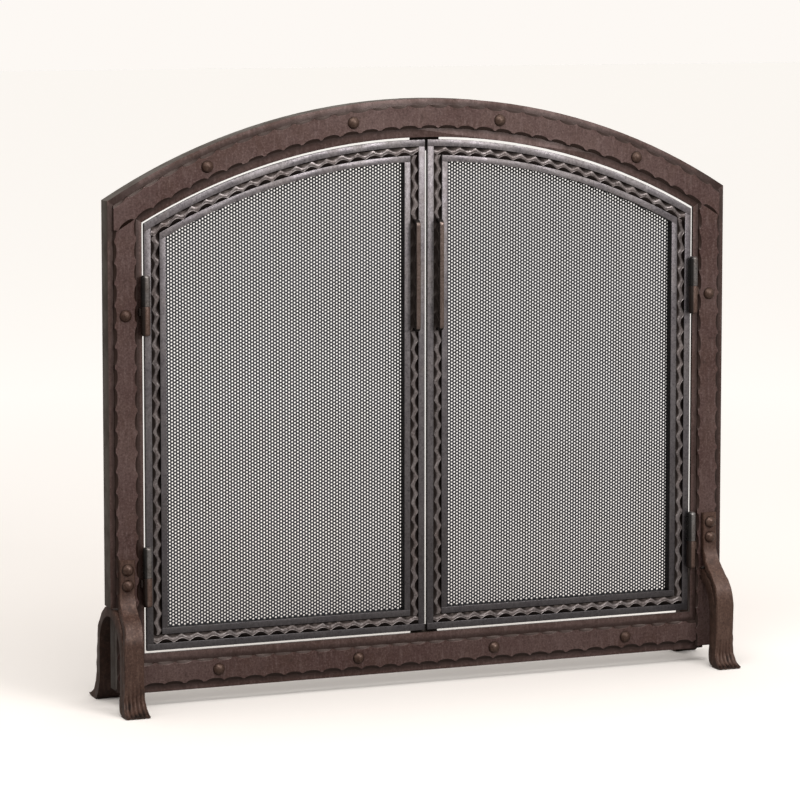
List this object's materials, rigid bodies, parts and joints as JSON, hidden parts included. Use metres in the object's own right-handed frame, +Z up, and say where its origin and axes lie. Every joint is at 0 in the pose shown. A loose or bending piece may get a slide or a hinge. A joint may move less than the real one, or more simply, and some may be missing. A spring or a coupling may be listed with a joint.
{
  "type": "fireplace screen",
  "caption": "Free-standing arched iron fireplace screen on bridge-shaped feet, with two hinged perforated doors that open forward on lift-off hinges.",
  "frame": {"origin": "on the floor, midway between the feet and midway between the front and rear toe tips", "axes": "+X to the viewer's right along the screen, +Y back towards the hearth, +Z up"},
  "size_m": [0.965, 0.1886, 0.863],
  "materials": {
    "frame_iron": "dark brown rubbed patina on steel angle",
    "strap_iron": "hammered, dark brown rubbed patina",
    "leg_iron": "forged, dark brown rubbed patina",
    "rivet_iron": "forged dome heads, dark brown rubbed patina",
    "door_iron": "grey natural iron, waxed",
    "twisted_iron": "grey natural iron, forged and twisted",
    "handle_iron": "brown patina, rubbed bright on the front",
    "mesh_black": "matt black heat-resistant paint",
    "pin_steel": "plain turned steel"
  },
  "bodies": {
    "frame": {"arch_rail": "frame_iron", "left_upright": "frame_iron", "right_upright": "frame_iron", "bottom_rail": "frame_iron", "arch_strap": "strap_iron", "left_strap": "strap_iron", "right_strap": "strap_iron", "bottom_strap": "strap_iron", "arch_rivets": "rivet_iron", "bottom_rivets": "rivet_iron", "side_rivets": "rivet_iron", "leg_rivets": "rivet_iron", "left_leg_yoke": "leg_iron", "right_leg_yoke": "leg_iron", "left_front_leg": "leg_iron", "right_front_leg": "leg_iron", "left_corner_post": "frame_iron", "right_corner_post": "frame_iron", "top_door_stop": "frame_iron", "bottom_door_stop": "frame_iron", "hinge_pins": "pin_steel", "left_lower_frame_hinge": "frame_iron", "left_upper_frame_hinge": "frame_iron", "right_lower_frame_hinge": "frame_iron", "right_upper_frame_hinge": "frame_iron"},
    "left_door": {"left_outer_arch_bar": "door_iron", "left_outer_foot_bar": "door_iron", "left_outer_meeting_bar": "door_iron", "left_outer_hinge_bar": "door_iron", "left_twisted_arch_bar": "twisted_iron", "left_twisted_foot_bar": "twisted_iron", "left_twisted_meeting_bar": "twisted_iron", "left_twisted_hinge_bar": "twisted_iron", "left_inner_arch_bar": "door_iron", "left_inner_foot_bar": "door_iron", "left_inner_meeting_bar": "door_iron", "left_inner_hinge_bar": "door_iron", "left_channel_plate": "door_iron", "left_mesh": "mesh_black", "left_handle": "handle_iron", "left_door_hinges": "door_iron"},
    "right_door": {"right_outer_arch_bar": "door_iron", "right_outer_foot_bar": "door_iron", "right_outer_meeting_bar": "door_iron", "right_outer_hinge_bar": "door_iron", "right_twisted_arch_bar": "twisted_iron", "right_twisted_foot_bar": "twisted_iron", "right_twisted_meeting_bar": "twisted_iron", "right_twisted_hinge_bar": "twisted_iron", "right_inner_arch_bar": "door_iron", "right_inner_foot_bar": "door_iron", "right_inner_meeting_bar": "door_iron", "right_inner_hinge_bar": "door_iron", "right_channel_plate": "door_iron", "right_mesh": "mesh_black", "right_handle": "handle_iron", "right_door_hinges": "door_iron"}
  },
  "joints": [
    {"name": "left_door_hinge", "type": "hinge", "parent": "frame", "child": "left_door", "pos_m": [-0.4298, -0.02725, 0.38], "axis": [0, 0, -1], "range_deg": [0, 110]},
    {"name": "right_door_hinge", "type": "hinge", "parent": "frame", "child": "right_door", "pos_m": [0.4298, -0.02725, 0.38], "axis": [0, 0, 1], "range_deg": [0, 110]}
  ]
}
